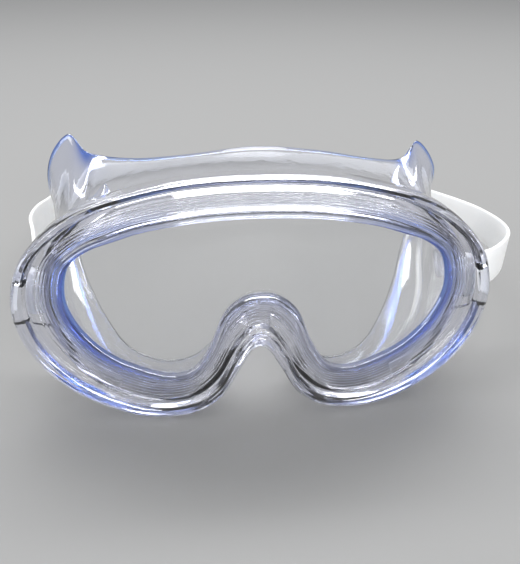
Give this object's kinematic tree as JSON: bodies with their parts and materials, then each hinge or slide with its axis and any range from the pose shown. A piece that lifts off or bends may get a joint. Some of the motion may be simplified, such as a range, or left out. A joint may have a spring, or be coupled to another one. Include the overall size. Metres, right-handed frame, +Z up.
{
  "type": "splash goggles",
  "caption": "Wide-vision splash goggles: soft clear frame and face skirt, clear lens, white rubber headband on swivel clips.",
  "frame": {"origin": "on the surface the goggles stand on, in the middle of the footprint of the goggles and the loop of the headband", "axes": "+Z up; the lens faces -Y and leans back 9 degrees; the headband's loop lies on the +Y side; +X is the right side seen from the front"},
  "size_m": [0.2317, 0.2062, 0.095],
  "materials": {
    "clear_pvc": "clear soft PVC with a blue tint",
    "clear_polycarbonate": "clear, polished",
    "white_rubber": "translucent white, satin",
    "clear_clip": "clear, polished"
  },
  "bodies": {
    "frame": {"rim": "clear_pvc", "skirt": "clear_pvc", "lens": "clear_polycarbonate"},
    "band": {"headband": "white_rubber", "strap_clip_right": "clear_clip", "strap_clip_left": "clear_clip"}
  },
  "joints": [
    {"name": "headband_swing", "type": "hinge", "parent": "frame", "child": "band", "pos_m": [-0.00733, -0.06178, 0.04122], "axis": [1, 0, 0], "range_deg": [-30, 80]}
  ]
}
